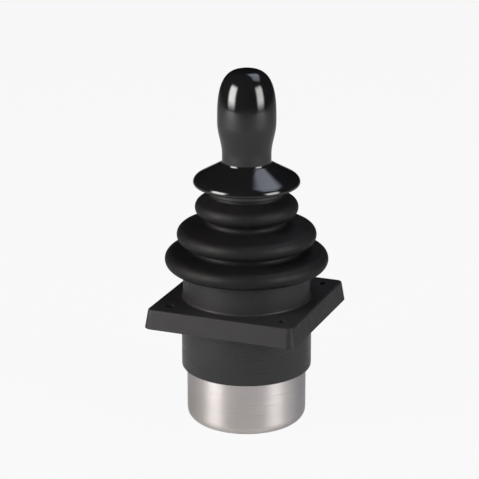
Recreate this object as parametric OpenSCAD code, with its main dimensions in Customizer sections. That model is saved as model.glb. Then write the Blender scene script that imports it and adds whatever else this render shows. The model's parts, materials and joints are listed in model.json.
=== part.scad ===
// Two-axis industrial joystick for panel mounting.
// +Z runs up the lever. The origin is the centre of the can's underside.

/* [Knob] */
// Widest radius of the knob
knob_r = 14.9; // [13.5:0.05:17]
// Radius of the knob's neck, where it meets the cone collar
neck_r = 12.5; // [11:0.1:12.9]
// Height of the knob
knob_h = 47.1; // [44:0.1:60]

/* [Cone collar] */
// Radius of the rolled rim
cone_rim_r = 27.2; // [26:0.1:30]
// Height of the rim's widest line above the base
cone_rim_z = 127.4; // [126:0.1:129]
// Radius of the roll under the rim
cone_roll_r = 1.3; // [1:0.1:2]
// Height of the collar's top, where the knob sits
cone_top_z = 138.5; // [137:0.1:143]

/* [Bellows] */
// Crest radius and height of the lowest convolution
crest_low = [41.9, 86.6]; // [40:0.1:87]
// Crest radius and height of the middle convolution
crest_mid = [35.7, 99.6]; // [34:0.1:100]
// Crest radius and height of the highest convolution
crest_high = [26.35, 114.1]; // [25:0.05:115]
// Rounding of the three crests, lowest first
crest_round = [4.25, 4.3, 4.4]; // [3:0.05:4.4]
// Wall of the rubber
boot_wall = 1.8; // [1.2:0.1:2]

/* [Flange] */
// Side of the square flange at its foot
flange_w = 81.6; // [80:0.2:90]
// Height of the flange's top face
flange_top_z = 66.5; // [66:0.1:67.5]
// Height of the flange's foot
flange_foot_z = 56.5; // [56.3:0.1:56.8]
// Radius of the flange's upright corners
flange_corner_r = 4.5; // [3:0.1:7]
// Spacing of the four mounting holes
hole_spacing = 60; // [58:0.5:62]
// Diameter of the mounting holes
hole_d = 4.5; // [4:0.1:5]
// Outer radius of the round collar that the boot stands on
collar_r = 32.7; // [32:0.1:34]
// Height of the collar's top face
collar_top_z = 81.7; // [81:0.1:82]

/* [Housing and can] */
// Radius of the black housing
housing_r = 33.5; // [33.3:0.1:35]
// Height of the housing's lower edge
housing_foot_z = 28.9; // [28:0.1:31]
// Radius of the steel can
can_r = 30.8; // [30.2:0.05:30.9]
// Radius of the can's lower edge
can_edge_r = 5; // [2:0.1:6]
// Sheet thickness of the can
can_wall = 1.2; // [0.8:0.1:1.3]

/* [Mechanism] */
// Height of both tilt axes
pivot_z = 69.2; // [69:0.1:69.6]
// Radius of the lever rod
rod_r = 4; // [3.5:0.1:4]
// Radius of the axis pins
pin_r = 2.5; // [2:0.1:2.6]
// Radial play of a pin in its bush
running_gap = 0.04; // [0.02:0.01:0.08]

/* [Hidden] */
$fn = 96;

seat_gap = 0.02;          // play of pieces that are glued, screwed or pressed together
eps = 0.01;

plate_w = 76;
plate_corner_r = 7;
plate_foot_z = 56.2;
plate_top_z = 59.5;
plate_bore_r = 19;
seat_depth = 0.5;         // recess in the plate's underside that the housing stands up into
seat_play = 0.9;          // how much wider than the housing the recess is
seat_z = plate_foot_z + seat_depth;
flange_draft = 1.6;       // how far each side leans in towards the top
flange_edge_r = 1;
collar_bore_r = 29.6;
collar_fillet_r = 1.2;
collar_edge_r = 0.5;

housing_bore_r = 29;
housing_edge_r = 0.8;
housing_step = 0.5;       // step round the housing's top edge
can_rim_z = housing_foot_z + 5.5;
can_fit_gap = 0.05;
seal_z = housing_foot_z + 2.8;
seal_r = 0.8;
seal_groove_half = seal_r + 0.1;
seal_groove_r = can_r + 1.75;

frame_top_z = pivot_z - 6.2;
frame_r = 27.4;
frame_bore_r = 21;
pedestal_x = [18, 21.4];
pedestal_half_w = 5.6;
bush_r = 4;
bush_flange_r = 5.2;
bush_flange_t = 0.8;

gimbal_r = 17;
gimbal_bore_r = 12.5;
gimbal_h = 9;

stack_angles = [90, 210, 330];
stack_r = 23.2;
post_r = 3;
post_screw_r = 1.5;
gate_plate_z = [pivot_z - 20, pivot_z - 18];
gate_half = 10.4;
gate_corner_r = 3;
sensor_board_z = [36, 37.6];
output_board_z = [14, 15.6];
board_r = 28.4;

hub_half = [6.5, 6.5, 6];
tail_r = 3;
tail_foot_z = pivot_z - 26.4;
magnet_foot_z = pivot_z - 29;
magnet_holder_r = 4.4;
magnet_holder_h = 4;
rod_top_z = cone_top_z + 22.7;

socket_r = 6;
socket_depth = 7.6;
barrel_r = 8.5;
inlet_flange_r = 10.5;
inlet_foot_z = 0.3;
inlet_pin_circle_r = 4.3;
inlet_pin_count = 6;

lip_r = 18.8;             // outer radius of the boot's top lip
lip_top_z = cone_rim_z - cone_roll_r;
bead_r = 29.55;           // outer radius of the boot's foot bead
bead_foot_z = collar_top_z - 6.5;

function arc(c, r, a0, a1, n) = [for (i = [0 : n]) let (a = a0 + (a1 - a0) * i / n)
  [c.x + r * cos(a), c.y + r * sin(a)]];

module square_round(w, r) {
  square([w, w - 2 * r], center = true);
  square([w - 2 * r, w], center = true);
  for (x = [-1, 1], y = [-1, 1]) translate([x, y] * (w / 2 - r)) circle(r);
}

module corner_holes(z0, z1, r) {
  for (x = [-1, 1], y = [-1, 1])
    translate([x * hole_spacing / 2, y * hole_spacing / 2, z0]) cylinder(r = r, h = z1 - z0);
}

module ring(r_out, r_in, z0, z1) {
  translate([0, 0, z0]) difference() {
    cylinder(r = r_out, h = z1 - z0);
    translate([0, 0, -1]) cylinder(r = r_in, h = z1 - z0 + 2);
  }
}

module around(angles, r) {
  for (a = angles) rotate(a) translate([r, 0, 0]) children();
}

// Countersunk screw with a hexagon socket, its head's top face at z = 0 and its shank downwards
module flat_screw(shank_r, head_r, length) {
  head_h = head_r - shank_r;
  difference() {
    union() {
      translate([0, 0, -head_h]) cylinder(r1 = shank_r, r2 = head_r, h = head_h, $fn = 48);
      translate([0, 0, -length]) cylinder(r = shank_r, h = length - head_h + eps, $fn = 48);
    }
    translate([0, 0, -head_h]) cylinder(r = shank_r * 0.62, h = head_h + 1, $fn = 6);
  }
}

module flat_screw_hole(shank_r, head_r, length) {
  head_h = head_r - shank_r;
  translate([0, 0, -head_h - seat_gap])
    cylinder(r1 = shank_r + seat_gap, r2 = head_r + 2 * seat_gap, h = head_h + 2 * seat_gap, $fn = 48);
  translate([0, 0, -length]) cylinder(r = shank_r + seat_gap, h = length, $fn = 48);
}

// ---- Flange ----

plate_screw = [1.25, 2.3, 11];     // housing screw: shank radius, head radius, length
frame_screw = [1.5, 2.8, 5.8];
frame_screw_reach = frame_screw[2] - (frame_top_z - plate_top_z);
stud_reach = 2.2;                  // how far the posts' studs reach into the plate
plate_screw_r = 31.25;
frame_screw_r = 24.2;
plate_screw_angles = [0, 90, 180, 270];
frame_screw_angles = [45, 135, 225, 315];

module flange_corner_post() {
  h = flange_top_z - flange_foot_z;
  top_r = flange_corner_r - flange_draft;
  rotate_extrude($fn = 32) polygon(concat(
    [[0, 0], [flange_corner_r, 0]],
    arc([top_r - flange_edge_r, h - flange_edge_r], flange_edge_r, 0, 90, 4),
    [[0, h]]));
}

module flange_cover() color([0.13, 0.13, 0.13]) difference() {
  union() {
    translate([0, 0, flange_foot_z]) hull()
      for (x = [-1, 1], y = [-1, 1]) translate([x, y, 0] * (flange_w / 2 - flange_corner_r))
        flange_corner_post();
    rotate_extrude() polygon(concat(
      [[collar_bore_r, flange_top_z - 3], [collar_r + collar_fillet_r, flange_top_z - 3]],
      arc([collar_r + collar_fillet_r, flange_top_z + collar_fillet_r], collar_fillet_r, 270, 180, 5),
      arc([collar_r - collar_edge_r, collar_top_z - collar_edge_r], collar_edge_r, 0, 90, 3),
      [[collar_bore_r, collar_top_z]]));
  }
  translate([0, 0, flange_foot_z - 1]) linear_extrude(plate_top_z - flange_foot_z + 1)
    square_round(plate_w + 0.1, plate_corner_r);
  translate([0, 0, flange_foot_z]) cylinder(r = collar_bore_r, h = collar_top_z);
  corner_holes(flange_foot_z, flange_top_z + 1, hole_d / 2);
}

module mounting_plate() color([0.62, 0.63, 0.64]) difference() {
  translate([0, 0, plate_foot_z]) linear_extrude(plate_top_z - plate_foot_z)
    square_round(plate_w, plate_corner_r);
  translate([0, 0, plate_foot_z - 1]) cylinder(r = plate_bore_r, h = plate_top_z);
  translate([0, 0, plate_foot_z - 1]) cylinder(r = housing_r + seat_play, h = seat_depth + 1);
  corner_holes(plate_foot_z - 1, plate_top_z + 1, hole_d / 2);
  around(plate_screw_angles, plate_screw_r) translate([0, 0, plate_top_z])
    flat_screw_hole(plate_screw[0], plate_screw[1], plate_screw[2]);
  around(frame_screw_angles, frame_screw_r) translate([0, 0, plate_top_z - frame_screw_reach - 0.2])
    cylinder(r = frame_screw[0] + seat_gap, h = 5, $fn = 48);
  around(stack_angles, stack_r) translate([0, 0, plate_foot_z - 1])
    cylinder(r = post_screw_r + seat_gap, h = 1 + seat_depth + stud_reach + 0.2, $fn = 48);
}

// ---- Housing and bearing frame ----

module housing_body() color([0.09, 0.09, 0.09]) difference() {
  rotate_extrude() polygon(concat(
    [[can_r + can_fit_gap, housing_foot_z]],
    arc([housing_r - housing_edge_r, housing_foot_z + housing_edge_r], housing_edge_r, 270, 360, 4),
    [[housing_r, plate_foot_z - housing_step], [housing_r - housing_step, plate_foot_z - housing_step],
     [housing_r - housing_step, seat_z], [housing_bore_r, seat_z], [housing_bore_r, can_rim_z],
     [can_r + can_fit_gap, can_rim_z],
     [can_r + can_fit_gap, seal_z + seal_groove_half], [seal_groove_r, seal_z + seal_groove_half],
     [seal_groove_r, seal_z - seal_groove_half], [can_r + can_fit_gap, seal_z - seal_groove_half]]));
  around(plate_screw_angles, plate_screw_r) translate([0, 0, plate_top_z])
    translate([0, 0, -plate_screw[2]]) cylinder(r = plate_screw[0] + seat_gap, h = 20, $fn = 48);
}

module housing_screws() color([0.55, 0.55, 0.57])
  around(plate_screw_angles, plate_screw_r) translate([0, 0, plate_top_z])
    flat_screw(plate_screw[0], plate_screw[1], plate_screw[2] - 0.2);

module frame_screws() color([0.55, 0.55, 0.57])
  around(frame_screw_angles, frame_screw_r) translate([0, 0, frame_top_z])
    flat_screw(frame_screw[0], frame_screw[1], frame_screw[2] - 0.2);

module bearing_frame() color([0.66, 0.67, 0.68]) difference() {
  union() {
    ring(frame_r, frame_bore_r, plate_top_z, frame_top_z);
    for (side = [-1, 1]) translate([side * (pedestal_x[0] + pedestal_x[1]) / 2, 0, 0]) {
      translate([-(pedestal_x[1] - pedestal_x[0]) / 2, -pedestal_half_w, plate_top_z])
        cube([pedestal_x[1] - pedestal_x[0], 2 * pedestal_half_w, pivot_z - plate_top_z]);
      translate([0, 0, pivot_z]) rotate([0, 90, 0])
        cylinder(r = pedestal_half_w, h = pedestal_x[1] - pedestal_x[0], center = true);
    }
  }
  translate([-30, 0, pivot_z]) rotate([0, 90, 0]) cylinder(r = bush_r + seat_gap, h = 60);
  around(frame_screw_angles, frame_screw_r) translate([0, 0, frame_top_z])
    flat_screw_hole(frame_screw[0], frame_screw[1], frame_screw[2]);
}

// Flanged bush, its flange's outer face at x = 0 and its body towards +X
module bush(length) rotate([0, 90, 0]) difference() {
  union() {
    cylinder(r = bush_flange_r, h = bush_flange_t);
    cylinder(r = bush_r, h = length + bush_flange_t);
  }
  translate([0, 0, -1]) cylinder(r = pin_r + running_gap, h = length + bush_flange_t + 2);
}

module outer_bushes() color([0.72, 0.55, 0.28])
  for (turn = [0, 180]) rotate(turn)
    translate([pedestal_x[0] - bush_flange_t, 0, pivot_z]) bush(pedestal_x[1] - pedestal_x[0]);

// ---- Stack of posts, gate and boards ----

// Hexagonal post with a stud on top and, where socket_h isn't 0, a socket in its foot
module post(z0, z1, stud_h, socket_h) difference() {
  union() {
    translate([0, 0, z0]) cylinder(r = post_r, h = z1 - z0, $fn = 6);
    translate([0, 0, z1 - eps]) cylinder(r = post_screw_r, h = stud_h + eps, $fn = 48);
  }
  translate([0, 0, z0 - eps]) cylinder(r = post_screw_r + seat_gap, h = socket_h, $fn = 48);
}

module stack_holes(z) {
  around(stack_angles, stack_r) translate([0, 0, z - 1])
    cylinder(r = post_screw_r + seat_gap, h = 5, $fn = 48);
}

module gate_posts() color([0.78, 0.68, 0.42])
  around(stack_angles, stack_r) post(gate_plate_z[1], seat_z, stud_reach, 3.6);

module board_posts() color([0.78, 0.68, 0.42])
  around(stack_angles, stack_r) post(sensor_board_z[1], gate_plate_z[0], 5, 4);

module mid_posts() color([0.78, 0.68, 0.42])
  around(stack_angles, stack_r) post(output_board_z[1], sensor_board_z[0], 5, 6);

module foot_spacers() color([0.78, 0.68, 0.42])
  around(stack_angles, stack_r) post(can_wall + seat_gap, output_board_z[0], 6.5, 6);

module limiter_plate() color([0.5, 0.51, 0.53]) difference() {
  ring(board_r, 1, gate_plate_z[0], gate_plate_z[1]);
  translate([0, 0, gate_plate_z[0] - 1]) linear_extrude(4) square_round(2 * gate_half, gate_corner_r);
  stack_holes(gate_plate_z[0]);
}

module board(z) difference() {
  translate([0, 0, z[0]]) cylinder(r = board_r, h = z[1] - z[0]);
  stack_holes(z[0]);
}

module sensor_board() color([0.05, 0.32, 0.16]) board(sensor_board_z);

module output_board() color([0.05, 0.32, 0.16]) difference() {
  board(output_board_z);
  inlet_pin_places() translate([0, 0, output_board_z[0] - 1])
    cylinder(r = 0.5 + seat_gap, h = 4, $fn = 24);
}

// Four sensor chips round the magnet's axis
module hall_sensors() color([0.08, 0.08, 0.09])
  for (a = [0 : 90 : 270]) rotate(a) translate([2.6, -1.4, sensor_board_z[1]]) cube([2.2, 2.8, 1.1]);

ribbon_y = -19;

module board_ribbon() color([0.5, 0.5, 0.52])
  translate([-6, ribbon_y, output_board_z[1]]) cube([12, 0.8, sensor_board_z[0] - output_board_z[1]]);

module output_components() color([0.08, 0.08, 0.09]) translate([0, 0, output_board_z[1]]) {
  translate([-3.5, -3.5, 0]) cube([7, 7, 1.2]);
  for (x = [-13, -9, 7.4, 11.4]) translate([x, 6, 0]) cube([1.6, 3.2, 1.3]);
  for (x = [-12, 12]) translate([x, -6, 0]) cylinder(r = 3, h = 5.2, $fn = 48);
}

// ---- Can and inlet ----

can_screw = [1.5, 2.5, 6.5];

module steel_can() color([0.72, 0.7, 0.68]) difference() {
  rotate_extrude() polygon(concat(
    [[barrel_r + 0.1, can_wall], [barrel_r + 0.1, 0]],
    arc([can_r - can_edge_r, can_edge_r], can_edge_r, 270, 360, 8),
    [[can_r, can_rim_z], [can_r - can_wall, can_rim_z]],
    arc([can_r - can_edge_r, can_edge_r], can_edge_r - can_wall, 360, 270, 8)));
  around(stack_angles, stack_r) rotate([180, 0, 0]) flat_screw_hole(can_screw[0], can_screw[1], can_screw[2]);
}

module can_screws() color([0.6, 0.6, 0.62])
  around(stack_angles, stack_r) rotate([180, 0, 0])
    flat_screw(can_screw[0], can_screw[1], can_screw[2]);

module can_seal() color([0.12, 0.1, 0.1])
  translate([0, 0, seal_z]) rotate_extrude() translate([can_r + can_fit_gap + seal_r, 0]) circle(seal_r, $fn = 32);

module inlet_pin_places() {
  for (i = [0 : inlet_pin_count - 1]) rotate(i * 360 / inlet_pin_count + 30)
    translate([inlet_pin_circle_r, 0, 0]) children();
}

module connector_shell() color([0.6, 0.6, 0.6]) difference() {
  union() {
    translate([0, 0, inlet_foot_z]) cylinder(r = barrel_r, h = 3);
    translate([0, 0, can_wall + 0.6]) cylinder(r = inlet_flange_r, h = 2.4);
    translate([0, 0, inlet_foot_z + 2])
      cylinder(r = barrel_r - 0.5, h = output_board_z[0] - inlet_foot_z - 2);
  }
  cylinder(r = socket_r, h = 20);
}

// Insulator with the contacts' holes, and the key that stands up beside them
module connector_insert() color([0.1, 0.1, 0.1]) {
  difference() {
    translate([0, 0, inlet_foot_z + socket_depth])
      cylinder(r = socket_r - seat_gap, h = output_board_z[0] - inlet_foot_z - socket_depth);
    inlet_pin_places() cylinder(r = 0.5 + seat_gap, h = 30, $fn = 24);
  }
  translate([socket_r - 1, -0.7, 3]) cube([0.8, 1.4, inlet_foot_z + socket_depth - 3 + eps]);
}

module connector_seal() color([0.15, 0.12, 0.12])
  ring(inlet_flange_r, barrel_r + 0.1, can_wall, can_wall + 0.6);

module connector_pins() color([0.85, 0.7, 0.35])
  inlet_pin_places() translate([0, 0, inlet_foot_z + 1.5])
    cylinder(r = 0.5, h = output_board_z[1] - inlet_foot_z - 1.5, $fn = 24);

// ---- Boot ----

valley_low = [29.6, crest_low.y + 6.8];
valley_high = [22.0, crest_mid.y + 8];
valley_round = [2.1, 2.05];
throat_round = 1.6;
throat = [lip_r + throat_round, lip_top_z - 4.3];

// Circles that the boot's outer skin wraps, from the foot up: [centre, radius, side], where side is
// 1 for a crest, whose circle is inside the rubber, and -1 for a valley, whose circle is outside
boot_circles = [
  [[crest_low.x - crest_round[0], crest_low.y], crest_round[0], 1],
  [valley_low, valley_round[0], -1],
  [[crest_mid.x - crest_round[1], crest_mid.y], crest_round[1], 1],
  [valley_high, valley_round[1], -1],
  [[crest_high.x - crest_round[2], crest_high.y], crest_round[2], 1],
  [throat, throat_round, -1]
];

// Direction of the skin's outward normal on the straight stretch between two neighbouring circles
function skin_normal(i) =
  let (a = boot_circles[i], b = boot_circles[i + 1], d = b[0] - a[0],
       lean = acos(min(1, (a[1] + b[1]) / norm(d))))
  atan2(d.y, d.x) + (a[2] > 0 ? -lean : lean - 180);

// Arc of the skin round circle i, at depth t inside the rubber
function skin_arc(i, t, n0, n1) =
  let (c = boot_circles[i])
  arc(c[0], c[1] - c[2] * t, n0 + (c[2] < 0 ? 180 : 0), n1 + (c[2] < 0 ? 180 : 0), 10);

function boot_skin(t) = concat(
  skin_arc(0, t, -97, skin_normal(0)),
  [for (i = [1 : 4]) each skin_arc(i, t, skin_normal(i - 1), skin_normal(i))],
  skin_arc(5, t, skin_normal(4), 0));

function reversed(p) = [for (i = [len(p) - 1 : -1 : 0]) p[i]];

module bellows_boot() color([0.07, 0.06, 0.06]) rotate_extrude() polygon(concat(
  [[bead_r - boot_wall, bead_foot_z], [bead_r, bead_foot_z], [bead_r, collar_top_z],
   [collar_r - 0.3, collar_top_z]],
  boot_skin(0),
  [[lip_r, lip_top_z], [lip_r - boot_wall + 0.02, lip_top_z]],
  reversed(boot_skin(boot_wall)),
  [[bead_r - boot_wall, collar_top_z + boot_wall]]));

module boot_retaining_ring() color([0.6, 0.6, 0.6])
  ring(bead_r - boot_wall - 0.02, bead_r - boot_wall - 2, bead_foot_z, bead_foot_z + 6);

module boot_band() color([0.6, 0.6, 0.6])
  ring(lip_r + 0.9, lip_r + 0.02, lip_top_z - 3.4, lip_top_z - 0.4);

// ---- Gimbal ----

module gimbal_ring() color([0.6, 0.61, 0.62]) difference() {
  ring(gimbal_r, gimbal_bore_r, pivot_z - gimbal_h / 2, pivot_z + gimbal_h / 2);
  translate([-20, 0, pivot_z]) rotate([0, 90, 0]) cylinder(r = pin_r + seat_gap, h = 40);
  translate([0, 20, pivot_z]) rotate([90, 0, 0]) cylinder(r = bush_r + seat_gap, h = 40);
}

module outer_pins() color([0.75, 0.75, 0.77])
  for (turn = [0, 180]) rotate(turn) translate([gimbal_bore_r + 0.4, 0, pivot_z]) rotate([0, 90, 0])
    cylinder(r = pin_r, h = pedestal_x[1] - gimbal_bore_r - 0.8);

module inner_bushes() color([0.72, 0.55, 0.28])
  for (turn = [90, 270]) rotate(turn) translate([gimbal_r + bush_flange_t, 0, pivot_z])
    mirror([1, 0, 0]) bush(gimbal_r - gimbal_bore_r - 0.3);

// ---- Lever ----

module lever_rod() color([0.75, 0.75, 0.77]) difference() {
  union() {
    translate([0, 0, tail_foot_z]) cylinder(r = tail_r, h = rod_top_z - tail_foot_z - 20);
    translate([0, 0, pivot_z - hub_half.z + 1]) cylinder(r = rod_r, h = rod_top_z - pivot_z + hub_half.z - 2);
    translate([0, 0, rod_top_z - 1]) cylinder(r1 = rod_r, r2 = rod_r - 0.8, h = 1);
  }
  translate([0, 20, pivot_z]) rotate([90, 0, 0]) cylinder(r = pin_r + seat_gap, h = 40);
}

module lever_hub() color([0.6, 0.61, 0.62]) difference() {
  translate([0, 0, pivot_z]) cube(2 * hub_half, center = true);
  translate([0, 0, pivot_z - hub_half.z - 1]) cylinder(r = tail_r + seat_gap, h = 10);
  translate([0, 0, pivot_z - hub_half.z + 1]) cylinder(r = rod_r + seat_gap, h = 20);
  translate([0, 20, pivot_z]) rotate([90, 0, 0]) cylinder(r = pin_r + seat_gap, h = 40);
}

inner_pin_half = 19.3;

module inner_pin() color([0.75, 0.75, 0.77])
  translate([0, inner_pin_half, pivot_z]) rotate([90, 0, 0]) cylinder(r = pin_r, h = 2 * inner_pin_half);

module pin_clips() color([0.5, 0.5, 0.52])
  for (side = [-1, 1]) translate([0, side * (gimbal_r + bush_flange_t + 0.5), pivot_z]) rotate([90, 0, 0])
    difference() {
      cylinder(r = 4.1, h = 0.7, center = true);
      cylinder(r = pin_r + seat_gap, h = 2, center = true);
      translate([-1.2, 0, -1]) cube([2.4, 6, 2]);
    }

module magnet_holder() color([0.15, 0.15, 0.16]) difference() {
  translate([0, 0, magnet_foot_z]) cylinder(r = magnet_holder_r, h = magnet_holder_h);
  translate([0, 0, magnet_foot_z - 1]) cylinder(r = tail_r + seat_gap, h = magnet_holder_h + 2);
}

module magnet() color([0.7, 0.7, 0.72])
  translate([0, 0, magnet_foot_z + 0.2]) cylinder(r = tail_r, h = tail_foot_z - magnet_foot_z - 0.4);

// Bell-shaped coil: a wire ring swept along a helix that goes up straight and then narrows
spring_wire_r = 1;
spring_turns = 6;
spring_r = [23.5, 8.2];
spring_collar_z = pivot_z + 22;
spring_z = [frame_top_z + 1.1, spring_collar_z - 1.1];
spring_neck = 0.5;        // share of the coil's length below its taper
steps_per_turn = 18;
wire_sides = 6;

module return_spring() color([0.7, 0.7, 0.7]) {
  rings = spring_turns * steps_per_turn;
  points = [for (i = [0 : rings], j = [0 : wire_sides - 1])
    let (f = i / rings, a = 360 * i / steps_per_turn, b = 360 * j / wire_sides,
         taper = max(0, f - spring_neck) / (1 - spring_neck),
         r = spring_r[0] + (spring_r[1] - spring_r[0]) * taper + spring_wire_r * cos(b),
         z = spring_z[0] + (spring_z[1] - spring_z[0]) * f + spring_wire_r * sin(b))
    [r * cos(a), r * sin(a), z]];
  sides = [for (i = [0 : rings - 1], j = [0 : wire_sides - 1])
    let (k = (j + 1) % wire_sides, a = i * wire_sides, b = a + wire_sides)
    [a + j, b + j, b + k, a + k]];
  first = [for (j = [0 : wire_sides - 1]) j];
  last = [for (j = [wire_sides - 1 : -1 : 0]) rings * wire_sides + j];
  polyhedron(points, concat(sides, [first, last]), convexity = 10);
}

module spring_collar() color([0.55, 0.55, 0.57]) difference() {
  union() {
    ring(10, rod_r + seat_gap, spring_collar_z + 3, spring_collar_z + 6);
    ring(6.5, rod_r + seat_gap, spring_collar_z, spring_collar_z + 4);
  }
  translate([0, 0, spring_collar_z + 4.5]) rotate([0, 90, 0]) cylinder(r = 1, h = 20, $fn = 24);
}

module jam_nut() color([0.6, 0.6, 0.62]) translate([0, 0, lip_top_z - 13.2]) difference() {
  cylinder(r = 7.5, h = 6.5, $fn = 6);
  translate([0, 0, -1]) cylinder(r = rod_r + seat_gap, h = 9);
}

boss_r = lip_r - boot_wall;
boss_foot_z = lip_top_z - 6.7;
crown = [8.2, 4.4];       // half axes of the ellipse that rounds the rim's upper side
neck_fillet_r = 1.9;

module cone_collar() color([0.03, 0.03, 0.035]) rotate_extrude() polygon(concat(
  [[rod_r + seat_gap, boss_foot_z], [boss_r, boss_foot_z], [boss_r, lip_top_z]],
  arc([cone_rim_r - cone_roll_r, cone_rim_z], cone_roll_r, 270, 360, 6),
  [for (a = [5 : 5 : 45]) [cone_rim_r - crown.x * (1 - cos(a)), cone_rim_z + crown.y * sin(a)]],
  arc([neck_r + neck_fillet_r, cone_top_z], neck_fillet_r, 231, 180, 6),
  [[rod_r + seat_gap, cone_top_z]]));

insert_r = 7;
insert_h = 24;

module knob_insert() color([0.78, 0.64, 0.32]) difference() {
  union() {
    translate([0, 0, cone_top_z]) cylinder(r = insert_r - 0.8, h = insert_h);
    for (z = [1, 9, 17]) translate([0, 0, cone_top_z + z]) cylinder(r = insert_r, h = 6);
  }
  translate([0, 0, cone_top_z - 1]) cylinder(r = rod_r + seat_gap, h = rod_top_z - cone_top_z + 1.2);
}

// Heights above the collar where the neck begins to swell and where the knob is widest
knob_swell_z = [3.3, 20.1];
dome_power = 3;

function knob_profile() = concat(
  [for (i = [0 : 12]) let (f = i / 12)
    [(neck_r + knob_r) / 2 - (knob_r - neck_r) / 2 * cos(180 * f),
     knob_swell_z[0] + (knob_swell_z[1] - knob_swell_z[0]) * f]],
  [for (i = [1 : 20]) let (a = 90 * i / 20)
    [knob_r * pow(cos(a), 2 / dome_power),
     knob_swell_z[1] + (knob_h - knob_swell_z[1]) * pow(sin(a), 2 / dome_power)]]);

module knob() color([0.03, 0.03, 0.035]) translate([0, 0, cone_top_z]) difference() {
  rotate_extrude() polygon(concat([[0, 0], [neck_r, 0]], knob_profile()));
  translate([0, 0, -1]) cylinder(r = insert_r + seat_gap, h = insert_h + 1 + seat_gap);
}

flange_cover();
mounting_plate();
housing_body();
housing_screws();
bearing_frame();
frame_screws();
outer_bushes();
gate_posts();
limiter_plate();
board_posts();
sensor_board();
hall_sensors();
mid_posts();
board_ribbon();
output_board();
output_components();
foot_spacers();
steel_can();
can_seal();
can_screws();
connector_shell();
connector_insert();
connector_seal();
connector_pins();
boot_retaining_ring();
bellows_boot();
gimbal_ring();
outer_pins();
inner_bushes();
lever_rod();
lever_hub();
inner_pin();
pin_clips();
magnet_holder();
magnet();
return_spring();
spring_collar();
jam_nut();
cone_collar();
boot_band();
knob_insert();
knob();
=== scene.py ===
import json
import math

import bmesh
import bpy
from mathutils import Matrix, Vector


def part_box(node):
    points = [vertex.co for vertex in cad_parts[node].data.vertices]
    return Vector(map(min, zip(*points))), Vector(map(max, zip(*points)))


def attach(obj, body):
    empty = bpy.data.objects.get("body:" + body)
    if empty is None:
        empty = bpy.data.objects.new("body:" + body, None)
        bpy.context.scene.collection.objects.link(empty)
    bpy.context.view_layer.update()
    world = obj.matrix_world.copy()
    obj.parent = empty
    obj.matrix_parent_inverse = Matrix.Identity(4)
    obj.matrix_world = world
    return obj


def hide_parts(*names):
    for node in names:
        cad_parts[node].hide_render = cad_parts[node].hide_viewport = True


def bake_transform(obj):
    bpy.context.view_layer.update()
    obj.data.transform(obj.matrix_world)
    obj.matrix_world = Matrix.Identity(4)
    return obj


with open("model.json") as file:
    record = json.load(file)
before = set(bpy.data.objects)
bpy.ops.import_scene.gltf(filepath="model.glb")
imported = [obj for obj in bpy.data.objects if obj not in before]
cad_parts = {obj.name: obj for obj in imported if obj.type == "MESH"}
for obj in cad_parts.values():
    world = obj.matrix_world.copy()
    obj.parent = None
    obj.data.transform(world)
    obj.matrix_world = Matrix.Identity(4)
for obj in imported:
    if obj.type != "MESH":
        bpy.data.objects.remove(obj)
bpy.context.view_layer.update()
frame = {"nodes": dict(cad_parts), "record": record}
print("frame loaded:", len(frame["nodes"]), "nodes")


# Camera and stage

cameraSettings = {
    "azimuth": 21.3,                         # degrees round from the front
    "elevation": 20.0,
    "distance": 1.082,                       # metres to the flange's middle
    "pivot": (0.0, 0.0, 0.0662),
    "aim": (-0.0034, -0.0013, 0.0963),
    "lens": 157.8,
}

floorSettings = {
    "radius": 7.0,
    "colour": (0.58, 0.58, 0.58),
    "backdrop": (0.955, 0.955, 0.955),
    "cameraShare": 0.97,                     # how much of the floor is plain backdrop to the camera
}

# Soft boxes round the lamp centre: azimuth from the camera's own, elevation from the level
lampSettings = [
    {"name": "leftBox", "azimuth": -63, "elevation": 16, "distance": 0.95, "size": (0.72, 0.84),
     "radiance": 17.0, "colour": (1.0, 0.985, 0.96)},
    {"name": "rightBox", "azimuth": 57, "elevation": 16, "distance": 0.95, "size": (0.66, 0.84),
     "radiance": 11.5, "colour": (1.0, 0.99, 0.98)},
    {"name": "overheadBox", "azimuth": 118, "elevation": 64, "distance": 0.9, "size": (1.1, 0.56),
     "radiance": 3.2, "colour": (0.8, 0.84, 1.0)},
]
lampCentre = Vector((0.0, 0.0, 0.12))
lampFade = 0.3                               # share of a box's size over which each edge fades
worldSettings = {"ambient": 0.045, "backdrop": 0.955}


def heading(azimuth, elevation):
    a, e = math.radians(azimuth), math.radians(elevation)
    return Vector((math.sin(a) * math.cos(e), -math.cos(a) * math.cos(e), math.sin(e)))


def aimed(obj, place, target):
    obj.location = place
    obj.rotation_euler = (Vector(target) - place).to_track_quat("-Z", "Y").to_euler()
    bpy.context.scene.collection.objects.link(obj)
    return obj


def addCamera(s):
    data = bpy.data.cameras.new("camera")
    data.lens = s["lens"]
    data.clip_start = 0.05
    place = Vector(s["pivot"]) + heading(s["azimuth"], s["elevation"]) * s["distance"]
    bpy.context.scene.camera = aimed(bpy.data.objects.new("camera", data), place, s["aim"])


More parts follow.
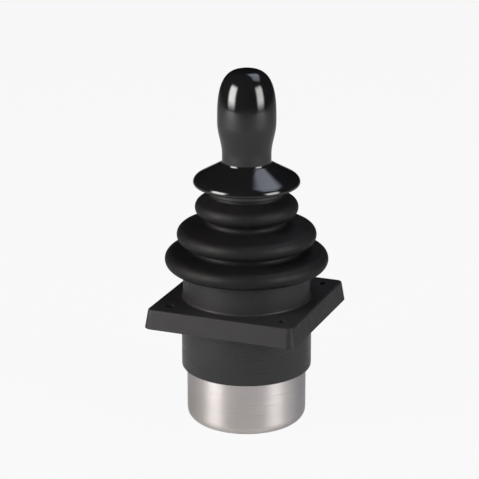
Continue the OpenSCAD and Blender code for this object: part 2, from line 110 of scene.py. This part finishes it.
# Fades a soft box out towards its edges, as its cloth does
def softenEdges(data):
    data.use_nodes = True
    nodes, links = data.node_tree.nodes, data.node_tree.links
    place = nodes.new("ShaderNodeNewGeometry")
    split = nodes.new("ShaderNodeSeparateXYZ")
    links.new(place.outputs["Parametric"], split.inputs[0])
    fades = []
    for axis in ("X", "Y"):
        inward = nodes.new("ShaderNodeMath")
        inward.operation = "PINGPONG"
        inward.inputs[1].default_value = 0.5
        fade = nodes.new("ShaderNodeMapRange")
        fade.interpolation_type = "SMOOTHSTEP"
        fade.inputs["From Max"].default_value = lampFade
        links.new(split.outputs[axis], inward.inputs[0])
        links.new(inward.outputs[0], fade.inputs["Value"])
        fades.append(fade.outputs["Result"])
    both = nodes.new("ShaderNodeMath")
    both.operation = "MULTIPLY"
    links.new(fades[0], both.inputs[0])
    links.new(fades[1], both.inputs[1])
    links.new(both.outputs[0], nodes["Emission"].inputs["Strength"])


def addSoftBox(s):
    data = bpy.data.lights.new(s["name"], "AREA")
    data.shape = "RECTANGLE"
    data.size, data.size_y = s["size"]
    data.color = s["colour"]
    data.energy = s["radiance"] * math.pi * s["size"][0] * s["size"][1]
    softenEdges(data)
    turn = cameraSettings["azimuth"] + s["azimuth"]
    place = lampCentre + heading(turn, s["elevation"]) * s["distance"]
    lamp = aimed(bpy.data.objects.new(s["name"], data), place, lampCentre)
    lamp.visible_camera = False


def addWorld(s):
    world = bpy.data.worlds.new("studio")
    world.use_nodes = True
    bpy.context.scene.world = world
    tree = world.node_tree
    shade = tree.nodes["Background"]
    path = tree.nodes.new("ShaderNodeLightPath")
    level = tree.nodes.new("ShaderNodeMix")
    level.inputs["A"].default_value = s["ambient"]
    level.inputs["B"].default_value = s["backdrop"]
    tree.links.new(path.outputs["Is Camera Ray"], level.inputs["Factor"])
    tree.links.new(level.outputs["Result"], shade.inputs["Strength"])


def addFloor(s):
    mesh = bpy.data.meshes.new("floor")
    bm = bmesh.new()
    bmesh.ops.create_circle(bm, cap_ends=True, segments=96, radius=s["radius"])
    bm.to_mesh(mesh)
    bm.free()
    floor = bpy.data.objects.new("floor", mesh)
    bpy.context.scene.collection.objects.link(floor)
    mat = bpy.data.materials.new("floorPaper")
    mat.use_nodes = True
    nodes, links = mat.node_tree.nodes, mat.node_tree.links
    nodes.clear()
    out = nodes.new("ShaderNodeOutputMaterial")
    paper = nodes.new("ShaderNodeBsdfDiffuse")
    paper.inputs["Color"].default_value = (*s["colour"], 1)
    plain = nodes.new("ShaderNodeEmission")
    plain.inputs["Color"].default_value = (*s["backdrop"], 1)
    path = nodes.new("ShaderNodeLightPath")
    share = nodes.new("ShaderNodeMath")
    share.operation = "MULTIPLY"
    share.inputs[1].default_value = s["cameraShare"]
    blend = nodes.new("ShaderNodeMixShader")
    links.new(path.outputs["Is Camera Ray"], share.inputs[0])
    links.new(share.outputs[0], blend.inputs["Fac"])
    links.new(paper.outputs[0], blend.inputs[1])
    links.new(plain.outputs[0], blend.inputs[2])
    links.new(blend.outputs[0], out.inputs["Surface"])
    mesh.materials.append(mat)


addCamera(cameraSettings)
for settings in lampSettings:
    addSoftBox(settings)
addWorld(worldSettings)
addFloor(floorSettings)
bpy.context.scene.view_settings.view_transform = "Standard"
print("stage ready")


# Finishes

def newFinish(name, look):
    mat = bpy.data.materials.new(name)
    mat.use_nodes = True
    nodes, links = mat.node_tree.nodes, mat.node_tree.links
    shader = nodes["Principled BSDF"]
    shader.inputs["Metallic"].default_value = look.get("metallic", 0.0)
    shader.inputs["Specular IOR Level"].default_value = look.get("specular", 0.5)
    shader.inputs["Coat Weight"].default_value = look.get("coat", 0.0)
    shader.inputs["Coat Roughness"].default_value = look.get("coatRoughness", 0.03)
    if "brushed" in look:
        grooves = nodes.new("ShaderNodeTangent")
        grooves.direction_type = "RADIAL"
        grooves.axis = "Z"
        links.new(grooves.outputs["Tangent"], shader.inputs["Tangent"])
        shader.inputs["Anisotropic"].default_value = look["brushed"]
        shader.inputs["Anisotropic Rotation"].default_value = 0.25
    place = nodes.new("ShaderNodeTexCoord")

    def noise(scale, stretch, detail):
        mapping = nodes.new("ShaderNodeMapping")
        mapping.inputs["Scale"].default_value = stretch
        texture = nodes.new("ShaderNodeTexNoise")
        texture.inputs["Scale"].default_value = scale
        texture.inputs["Detail"].default_value = detail
        links.new(place.outputs["Object"], mapping.inputs["Vector"])
        links.new(mapping.outputs["Vector"], texture.inputs["Vector"])
        return texture.outputs["Fac"]

    tint = nodes.new("ShaderNodeMix")
    tint.data_type = "RGBA"
    tint.inputs["A"].default_value = (*look["tints"][0], 1)
    tint.inputs["B"].default_value = (*look["tints"][1], 1)
    links.new(noise(look["tintScale"], look.get("tintStretch", (1, 1, 1)), 4), tint.inputs["Factor"])
    links.new(tint.outputs["Result"], shader.inputs["Base Color"])

    rough = nodes.new("ShaderNodeMapRange")
    rough.inputs["From Min"].default_value = 0.3
    rough.inputs["From Max"].default_value = 0.7
    rough.inputs["To Min"].default_value = look["roughness"][0]
    rough.inputs["To Max"].default_value = look["roughness"][1]
    links.new(noise(look["roughScale"], look.get("roughStretch", (1, 1, 1)), 5), rough.inputs["Value"])
    links.new(rough.outputs["Result"], shader.inputs["Roughness"])

    bump = nodes.new("ShaderNodeBump")
    bump.inputs["Strength"].default_value = look["grain"]
    bump.inputs["Distance"].default_value = look["grainDepth"]
    links.new(noise(look["grainScale"], look.get("grainStretch", (1, 1, 1)), 3), bump.inputs["Height"])
    links.new(bump.outputs["Normal"], shader.inputs["Normal"])
    return mat


turned = (30, 30, 2600)                      # stretch that draws lathe lines round a piece
creaseAngle = 32                             # degrees; edges that fold more than this stay sharp

looks = {
    "knob_black": {
        "tints": ((0.0055, 0.0055, 0.006), (0.008, 0.008, 0.0085)), "tintScale": 60,
        "roughness": (0.07, 0.11), "roughScale": 90, "specular": 0.5,
        "grain": 0.06, "grainDepth": 0.0002, "grainScale": 260},
    "boot_rubber": {
        "tints": ((0.004, 0.0036, 0.0036), (0.007, 0.0063, 0.0063)), "tintScale": 55,
        "roughness": (0.5, 0.64), "roughScale": 140, "specular": 0.2,
        "grain": 0.22, "grainDepth": 0.0002, "grainScale": 2300},
    "flange_black": {
        "tints": ((0.0125, 0.0115, 0.012), (0.017, 0.016, 0.0165)), "tintScale": 80,
        "roughness": (0.44, 0.58), "roughScale": 220, "specular": 0.24,
        "grain": 0.3, "grainDepth": 0.0002, "grainScale": 1800},
    "housing_black": {
        "tints": ((0.012, 0.0117, 0.012), (0.016, 0.0157, 0.016)), "tintScale": 40,
        "roughness": (0.26, 0.34), "roughScale": 60, "roughStretch": (1, 1, 6), "specular": 0.4,
        "grain": 0.1, "grainDepth": 0.0001, "grainScale": 1, "grainStretch": turned},
    "can_steel": {
        "tints": ((0.55, 0.515, 0.5), (0.64, 0.605, 0.59)), "tintScale": 1, "tintStretch": (40, 40, 900),
        "roughness": (0.27, 0.34), "roughScale": 1, "roughStretch": turned, "metallic": 1.0, "brushed": 0.75,
        "grain": 0.12, "grainDepth": 0.0001, "grainScale": 1, "grainStretch": turned},
    "plate_metal": {
        "tints": ((0.42, 0.42, 0.43), (0.52, 0.52, 0.54)), "tintScale": 120,
        "roughness": (0.3, 0.45), "roughScale": 200, "metallic": 1.0,
        "grain": 0.15, "grainDepth": 0.0001, "grainScale": 1500},
    "screw_steel": {
        "tints": ((0.4, 0.4, 0.42), (0.5, 0.5, 0.52)), "tintScale": 600,
        "roughness": (0.25, 0.4), "roughScale": 900, "metallic": 1.0,
        "grain": 0.1, "grainDepth": 0.0001, "grainScale": 4000},
    "cast_alloy": {
        "tints": ((0.4, 0.41, 0.42), (0.5, 0.51, 0.52)), "tintScale": 250,
        "roughness": (0.42, 0.6), "roughScale": 500, "metallic": 1.0,
        "grain": 0.4, "grainDepth": 0.0002, "grainScale": 1600},
    "bronze": {
        "tints": ((0.42, 0.25, 0.1), (0.52, 0.33, 0.14)), "tintScale": 300,
        "roughness": (0.3, 0.45), "roughScale": 500, "metallic": 1.0,
        "grain": 0.25, "grainDepth": 0.0001, "grainScale": 3000},
    "post_brass": {
        "tints": ((0.55, 0.4, 0.16), (0.66, 0.5, 0.22)), "tintScale": 300,
        "roughness": (0.2, 0.32), "roughScale": 500, "metallic": 1.0,
        "grain": 0.12, "grainDepth": 0.0001, "grainScale": 2500},
    "board_green": {
        "tints": ((0.008, 0.06, 0.025), (0.015, 0.1, 0.045)), "tintScale": 220,
        "roughness": (0.28, 0.4), "roughScale": 300,
        "grain": 0.2, "grainDepth": 0.0001, "grainScale": 1200},
    "component_black": {
        "tints": ((0.012, 0.012, 0.013), (0.025, 0.025, 0.026)), "tintScale": 500,
        "roughness": (0.45, 0.6), "roughScale": 700,
        "grain": 0.3, "grainDepth": 0.0001, "grainScale": 3500},
    "seal_rubber": {
        "tints": ((0.01, 0.009, 0.009), (0.02, 0.018, 0.018)), "tintScale": 300,
        "roughness": (0.45, 0.6), "roughScale": 500,
        "grain": 0.2, "grainDepth": 0.0001, "grainScale": 2500},
    "connector_black": {
        "tints": ((0.01, 0.01, 0.011), (0.02, 0.02, 0.021)), "tintScale": 400,
        "roughness": (0.4, 0.52), "roughScale": 600,
        "grain": 0.3, "grainDepth": 0.0001, "grainScale": 2500},
    "contact_gold": {
        "tints": ((0.75, 0.52, 0.2), (0.85, 0.62, 0.28)), "tintScale": 700,
        "roughness": (0.18, 0.28), "roughScale": 900, "metallic": 1.0,
        "grain": 0.08, "grainDepth": 0.0001, "grainScale": 4000},
    "pin_steel": {
        "tints": ((0.5, 0.5, 0.52), (0.6, 0.6, 0.62)), "tintScale": 200,
        "roughness": (0.14, 0.24), "roughScale": 500, "metallic": 1.0,
        "grain": 0.08, "grainDepth": 0.0001, "grainScale": 2500},
    "magnet_nickel": {
        "tints": ((0.58, 0.56, 0.52), (0.66, 0.64, 0.6)), "tintScale": 400,
        "roughness": (0.12, 0.22), "roughScale": 600, "metallic": 1.0,
        "grain": 0.08, "grainDepth": 0.0001, "grainScale": 2500},
    "spring_steel": {
        "tints": ((0.3, 0.3, 0.31), (0.4, 0.4, 0.41)), "tintScale": 300,
        "roughness": (0.25, 0.38), "roughScale": 500, "metallic": 1.0,
        "grain": 0.15, "grainDepth": 0.0001, "grainScale": 2500},
}
finishes = {slot: newFinish(slot, look) for slot, look in looks.items()}
nodeSlots = {part["node"]: part["material_slot"] for part in frame["record"]["subparts"]}
for nodeName, obj in frame["nodes"].items():
    obj.data.materials.clear()
    obj.data.materials.append(finishes[nodeSlots[nodeName]])
print("finishes on", len(nodeSlots), "nodes")


# Turned pieces

def arc(centre, radius, start, end, steps):
    angles = [math.radians(start + (end - start) * i / steps) for i in range(steps + 1)]
    return [(centre[0] + radius * math.cos(a), centre[1] + radius * math.sin(a)) for a in angles]


def turnedPiece(name, outline, steps, slotName, body, replaced):
    bm = bmesh.new()
    verts = [bm.verts.new((r, 0, z)) for r, z in outline]
    closed = outline[0][0] > 0 or outline[-1][0] > 0
    edges = [bm.edges.new(pair) for pair in zip(verts, verts[1:])]
    if closed:
        edges.append(bm.edges.new((verts[-1], verts[0])))
    bmesh.ops.spin(bm, geom=verts + edges, cent=(0, 0, 0), axis=(0, 0, 1), angle=2 * math.pi,
                   steps=steps, use_merge=True)
    bmesh.ops.remove_doubles(bm, verts=bm.verts, dist=1e-6)
    bmesh.ops.recalc_face_normals(bm, faces=bm.faces)
    for face in bm.faces:
        face.smooth = True
    for edge in bm.edges:
        edge.smooth = edge.calc_face_angle(0) < math.radians(creaseAngle)
    mesh = bpy.data.meshes.new(name)
    bm.to_mesh(mesh)
    bm.free()
    mesh.materials.append(finishes[slotName])
    piece = bpy.data.objects.new(name, mesh)
    bpy.context.scene.collection.objects.link(piece)
    if body:
        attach(piece, body)
    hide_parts(replaced)
    print("turned", name, len(mesh.polygons), "faces")
    return piece


knobShape = {
    "neck": 0.0125,                          # radius where the knob meets the collar
    "swell": (0.0033, 0.0201),               # heights where the neck ends and where the knob is widest
    "domePower": 3.0,
    "bore": (0.00702, 0.02402),              # radius and depth of the insert's bore
    "neckSteps": 30,
    "domeSteps": 56,
    "turns": 128,
}


def buildKnob(s):
    low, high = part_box("knob")
    foot, top, widest = low.z, high.z, high.x
    swell = [foot + h for h in s["swell"]]
    outline = [(0, foot + s["bore"][1]), (s["bore"][0], foot + s["bore"][1]), (s["bore"][0], foot)]
    outline.append((s["neck"], foot))
    for i in range(s["neckSteps"] + 1):
        f = i / s["neckSteps"]
        radius = (s["neck"] + widest) / 2 - (widest - s["neck"]) / 2 * math.cos(math.pi * f)
        outline.append((radius, swell[0] + (swell[1] - swell[0]) * f))
    power = 2 / s["domePower"]
    for i in range(1, s["domeSteps"] + 1):
        a = math.pi / 2 * i / s["domeSteps"]
        radius = widest * max(0, math.cos(a)) ** power
        outline.append((radius, swell[1] + (top - swell[1]) * math.sin(a) ** power))
    outline[-1] = (0, top)
    turnedPiece("knobShell", outline, s["turns"], "knob_black", "lever", "knob")


buildKnob(knobShape)

coneShape = {
    "boss": 0.0170,
    "bore": 0.00402,
    "roll": 0.0013,
    "crown": (0.0082, 0.0044),               # half axes of the ellipse that rounds the rim's upper side
    "crownSweep": 45,                        # degrees of that ellipse
    "neck": 0.0125,
    "fillet": 0.0019,
    "filletStart": 231,                      # degrees where the fillet leaves the cone
    "turns": 160,
}


def buildCone(s):
    low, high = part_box("cone_collar")
    rimRadius = high.x
    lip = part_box("bellows_boot")[1].z
    rimZ = lip + s["roll"]
    outline = [(s["bore"], low.z), (s["boss"], low.z), (s["boss"], lip)]
    outline += arc((rimRadius - s["roll"], rimZ), s["roll"], 270, 360, 16)
    wide, tall = s["crown"]
    for x, y in arc((0, 0), 1, 0, s["crownSweep"], 16)[1:]:
        outline.append((rimRadius - wide * (1 - x), rimZ + tall * y))
    outline += arc((s["neck"] + s["fillet"], high.z), s["fillet"], s["filletStart"], 180, 14)
    outline.append((s["bore"], high.z))
    turnedPiece("coneShell", outline, s["turns"], "knob_black", "lever", "cone_collar")


buildCone(coneShape)

# Boot: its outer skin wraps circles, crests (side 1) inside the rubber and valleys (side -1) outside
bootShape = {
    "circles": [((0.03765, 0.0866), 0.00425, 1), ((0.0296, 0.0934), 0.0021, -1),
                ((0.0314, 0.0996), 0.0043, 1), ((0.0220, 0.1076), 0.00205, -1),
                ((0.02195, 0.1141), 0.0044, 1), ((0.0204, 0.1218), 0.0016, -1)],
    "wall": 0.0018,
    "bead": 0.02955,
    "seat": 0.0324,                          # radius where the boot leaves the collar's top
    "lip": 0.0188,
    "arcSteps": 22,
    "turns": 160,
    "heel": -97,                             # degrees where the lowest crest leaves its seat
    "bendStart": 0.0790,                     # height on the boot, at the gimbal
    "grip": 0.004,                           # length of lip at the lever
}


def skinNormal(circles, i):
    (ax, az), ra, side = circles[i]
    (bx, bz), rb, _ = circles[i + 1]
    lean = math.degrees(math.acos((ra + rb) / math.hypot(bx - ax, bz - az)))
    return math.degrees(math.atan2(bz - az, bx - ax)) + (-lean if side > 0 else lean - 180)


def skinArc(circles, i, depth, start, end, steps):
    centre, radius, side = circles[i]
    turn = 180 if side < 0 else 0
    return arc(centre, radius - side * depth, start + turn, end + turn, steps)


def buildBoot(s):
    c, n = s["circles"], s["arcSteps"]
    normals = [skinNormal(c, i) for i in range(len(c) - 1)]
    low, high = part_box("bellows_boot")
    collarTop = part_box("flange_cover")[1].z

    def lowerSkin(depth):
        points = skinArc(c, 0, depth, s["heel"], normals[0], n)
        points += skinArc(c, 1, depth, normals[0], normals[1], n)
        return points + skinArc(c, 2, depth, normals[1], normals[2], n)

    def upperSkin(depth):
        points = skinArc(c, 3, depth, normals[2], normals[3], n)
        points += skinArc(c, 4, depth, normals[3], normals[4], n)
        return points + skinArc(c, 5, depth, normals[4], 0, n)

    def seam(depth):
        a, b = lowerSkin(depth)[-1], upperSkin(depth)[0]
        return ((a[0] + b[0]) / 2, (a[1] + b[1]) / 2)

    t = s["wall"]
    foot = [(s["bead"] - t, low.z), (s["bead"], low.z), (s["bead"], collarTop), (s["seat"], collarTop)]
    outline = foot + lowerSkin(0) + [seam(0), seam(t)] + lowerSkin(t)[::-1] + [(s["bead"] - t, collarTop + t)]
    lower = turnedPiece("bootLower", outline, s["turns"], "boot_rubber", None, "bellows_boot")
    outline = [seam(0)] + upperSkin(0) + [(s["lip"], high.z), (s["lip"] - t, high.z)]
    outline += upperSkin(t)[::-1] + [seam(t)]
    upper = turnedPiece("bootUpper", outline, s["turns"], "boot_rubber", None, "bellows_boot")
    seam(t)[1]
    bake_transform(lower)
    seam(0)[1]
    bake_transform(upper)


buildBoot(bootShape)

springShape = {
    "radii": (0.0235, 0.0082),               # foot and top
    "wire": 0.001,
    "sides": 10,
    "turns": 6,
    "stepsPerTurn": 40,
    "neck": 0.5,                             # share of its height below the taper
}


def buildSpring(s):
    low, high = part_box("return_spring")
    foot, top = low.z + s["wire"], high.z - s["wire"]
    middle = (foot + top) / 2
    halves = (
        ("springLower", foot, middle, 0, "root", "gimbal"),
        ("springUpper", middle, top, s["turns"] / 2, "gimbal", "lever"))
    for name, start, end, turnsBelow, lowerBody, upperBody in halves:
        bm = bmesh.new()
        turn = Matrix.Rotation(2 * math.pi * turnsBelow, 4, "Z")
        place = turn @ Matrix.Translation((s["radii"][0], 0, start))
        bmesh.ops.create_circle(bm, cap_ends=False, segments=s["sides"], radius=s["wire"],
                                matrix=place @ Matrix.Rotation(math.pi / 2, 4, "X"))
        steps = s["stepsPerTurn"] * s["turns"] // 2
        bmesh.ops.spin(bm, geom=bm.verts[:] + bm.edges[:], cent=(0, 0, 0), axis=(0, 0, 1),
                       dvec=(0, 0, (top - foot) / 2 / steps), angle=math.pi * s["turns"], steps=steps)
        bmesh.ops.holes_fill(bm, edges=[e for e in bm.edges if e.is_boundary], sides=s["sides"])
        for vert in bm.verts:
            share = max(0, (vert.co.z - foot) / (top - foot) - s["neck"]) / (1 - s["neck"])
            flat = math.hypot(vert.co.x, vert.co.y)
            factor = (flat + (s["radii"][1] - s["radii"][0]) * min(1, share)) / flat
            vert.co.x *= factor
            vert.co.y *= factor
        bmesh.ops.recalc_face_normals(bm, faces=bm.faces)
        for face in bm.faces:
            face.smooth = len(face.verts) == 4
        mesh = bpy.data.meshes.new(name)
        bm.to_mesh(mesh)
        bm.free()
        mesh.materials.append(finishes["spring_steel"])
        coil = bpy.data.objects.new(name, mesh)
        bpy.context.scene.collection.objects.link(coil)
        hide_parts("return_spring")
        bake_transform(coil)
    print("spring ready")


buildSpring(springShape)
